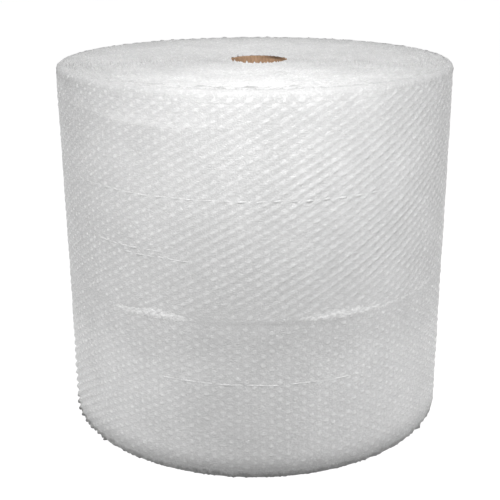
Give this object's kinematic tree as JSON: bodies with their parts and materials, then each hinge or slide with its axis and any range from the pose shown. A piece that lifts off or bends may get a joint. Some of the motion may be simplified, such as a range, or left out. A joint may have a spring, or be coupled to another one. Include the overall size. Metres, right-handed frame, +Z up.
{
  "type": "bubble wrap roll",
  "caption": "Wide roll of small-bubble cushioning film wound on a paperboard core tube, standing on its end.",
  "frame": {"origin": "centre of the roll at its lower end", "axes": "+Z up, along the axis the film is wound round; -Y towards the picture's camera; the core lies a little towards +X"},
  "size_m": [0.5449, 0.545, 0.5],
  "materials": {
    "film": "translucent white polyethylene bubble film, soft sheen",
    "paperboard": "brown spiral-wound paperboard, matt"
  },
  "bodies": {
    "root": {"bubble_film": "film", "core_tube": "paperboard"}
  },
  "joints": []
}
